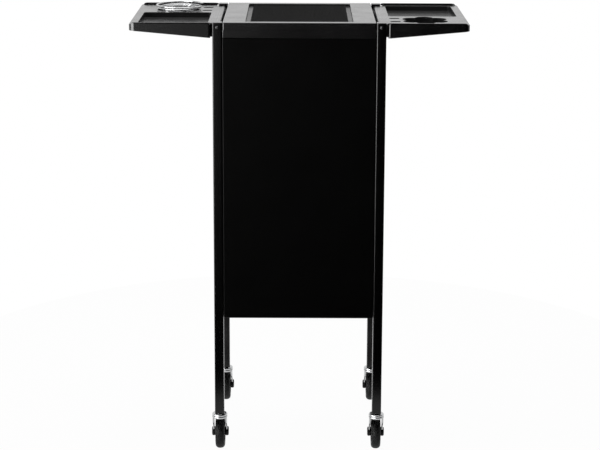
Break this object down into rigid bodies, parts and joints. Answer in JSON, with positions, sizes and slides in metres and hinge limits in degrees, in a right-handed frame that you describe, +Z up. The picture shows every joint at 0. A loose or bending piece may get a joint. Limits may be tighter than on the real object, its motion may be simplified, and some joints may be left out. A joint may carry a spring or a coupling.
{
  "type": "spa trolley cart",
  "caption": "Tall narrow salon trolley on swivel castors with pull-out drawers, a matted top and two folding side trays, one holding a wire dryer spiral.",
  "frame": {"origin": "on the floor, under the middle of the box that holds the whole trolley", "axes": "+Z up, +Y the way the drawers open, +X to the right of the closed side seen from -Y"},
  "size_m": [0.705, 0.407, 0.9493],
  "materials": {
    "black_steel": "satin black powder coat",
    "black_plastic": "satin black moulded plastic",
    "rubber_mat": "matt ribbed rubber",
    "wheel_black": "matt black rubber tread on a moulded hub",
    "chrome": "bright chrome plate",
    "zinc_steel": "bright zinc plate"
  },
  "bodies": {
    "frame": {"post_front_left": "black_steel", "post_front_right": "black_steel", "post_rear_left": "black_steel", "post_rear_right": "black_steel", "post_cap_front_left": "black_plastic", "post_cap_front_right": "black_plastic", "post_cap_rear_left": "black_plastic", "post_cap_rear_right": "black_plastic", "closed_panel": "black_steel", "side_panel_left": "black_steel", "side_panel_right": "black_steel", "bottom_pan": "black_steel", "top_deck": "black_plastic", "top_mat": "rubber_mat", "drawer_guide_left": "black_plastic", "drawer_guide_right": "black_plastic", "tray_pin_front_left": "zinc_steel", "tray_pin_front_right": "zinc_steel", "tray_pin_rear_left": "zinc_steel", "tray_pin_rear_right": "zinc_steel", "stem_socket_front_left": "black_plastic", "stem_socket_front_right": "black_plastic", "stem_socket_rear_left": "black_plastic", "stem_socket_rear_right": "black_plastic", "castor_stem_front_left": "zinc_steel", "castor_stem_front_right": "zinc_steel", "castor_stem_rear_left": "zinc_steel", "castor_stem_rear_right": "zinc_steel"},
    "tray_left": {"side_tray_left": "black_plastic"},
    "tray_right": {"side_tray_right": "black_plastic"},
    "dryer_holder": {"dryer_spiral": "chrome"},
    "drawer_1": {"drawer_1": "black_plastic"},
    "drawer_2": {"drawer_2": "black_plastic"},
    "drawer_3": {"drawer_3": "black_plastic"},
    "drawer_4": {"drawer_4": "black_plastic"},
    "drawer_5": {"drawer_5": "black_plastic"},
    "swivel_front_left": {"castor_fork_front_left": "chrome", "castor_axle_front_left": "zinc_steel", "axle_cap_a_front_left": "black_plastic", "axle_cap_b_front_left": "black_plastic"},
    "wheel_front_left": {"castor_wheel_front_left": "wheel_black"},
    "swivel_front_right": {"castor_fork_front_right": "chrome", "castor_axle_front_right": "zinc_steel", "axle_cap_a_front_right": "black_plastic", "axle_cap_b_front_right": "black_plastic"},
    "wheel_front_right": {"castor_wheel_front_right": "wheel_black"},
    "swivel_rear_left": {"castor_fork_rear_left": "chrome", "castor_axle_rear_left": "zinc_steel", "axle_cap_a_rear_left": "black_plastic", "axle_cap_b_rear_left": "black_plastic"},
    "wheel_rear_left": {"castor_wheel_rear_left": "wheel_black"},
    "swivel_rear_right": {"castor_fork_rear_right": "chrome", "castor_axle_rear_right": "zinc_steel", "axle_cap_a_rear_right": "black_plastic", "axle_cap_b_rear_right": "black_plastic"},
    "wheel_rear_right": {"castor_wheel_rear_right": "wheel_black"}
  },
  "joints": [
    {"name": "tray_left_fold", "type": "hinge", "parent": "frame", "child": "tray_left", "pos_m": [-0.17, -0.0245, 0.93], "axis": [0, 1, 0], "range_deg": [0, 95]},
    {"name": "tray_right_fold", "type": "hinge", "parent": "frame", "child": "tray_right", "pos_m": [0.17, -0.0245, 0.93], "axis": [0, -1, 0], "range_deg": [0, 95]},
    {"name": "dryer_holder_lift", "type": "slide", "parent": "tray_left", "child": "dryer_holder", "axis": [0, 0, 1], "range_m": [0, 0.09]},
    {"name": "drawer_1_slide", "type": "slide", "parent": "frame", "child": "drawer_1", "axis": [0, 1, 0], "range_m": [0, 0.24]},
    {"name": "drawer_2_slide", "type": "slide", "parent": "frame", "child": "drawer_2", "axis": [0, 1, 0], "range_m": [0, 0.24]},
    {"name": "drawer_3_slide", "type": "slide", "parent": "frame", "child": "drawer_3", "axis": [0, 1, 0], "range_m": [0, 0.24]},
    {"name": "drawer_4_slide", "type": "slide", "parent": "frame", "child": "drawer_4", "axis": [0, 1, 0], "range_m": [0, 0.24]},
    {"name": "drawer_5_slide", "type": "slide", "parent": "frame", "child": "drawer_5", "axis": [0, 1, 0], "range_m": [0, 0.24]},
    {"name": "castor_swivel_front_left", "type": "hinge", "parent": "frame", "child": "swivel_front_left", "pos_m": [-0.17, -0.187, 0.085], "axis": [0, 0, 1], "continuous": true},
    {"name": "wheel_spin_front_left", "type": "hinge", "parent": "swivel_front_left", "child": "wheel_front_left", "pos_m": [-0.17, -0.159, 0.0375], "axis": [1, 0, 0], "continuous": true},
    {"name": "castor_swivel_front_right", "type": "hinge", "parent": "frame", "child": "swivel_front_right", "pos_m": [0.17, -0.187, 0.085], "axis": [0, 0, 1], "continuous": true},
    {"name": "wheel_spin_front_right", "type": "hinge", "parent": "swivel_front_right", "child": "wheel_front_right", "pos_m": [0.17, -0.159, 0.0375], "axis": [1, 0, 0], "continuous": true},
    {"name": "castor_swivel_rear_left", "type": "hinge", "parent": "frame", "child": "swivel_rear_left", "pos_m": [-0.17, 0.138, 0.085], "axis": [0, 0, 1], "continuous": true},
    {"name": "wheel_spin_rear_left", "type": "hinge", "parent": "swivel_rear_left", "child": "wheel_rear_left", "pos_m": [-0.17, 0.166, 0.0375], "axis": [1, 0, 0], "continuous": true},
    {"name": "castor_swivel_rear_right", "type": "hinge", "parent": "frame", "child": "swivel_rear_right", "pos_m": [0.17, 0.138, 0.085], "axis": [0, 0, 1], "continuous": true},
    {"name": "wheel_spin_rear_right", "type": "hinge", "parent": "swivel_rear_right", "child": "wheel_rear_right", "pos_m": [0.17, 0.166, 0.0375], "axis": [1, 0, 0], "continuous": true}
  ]
}
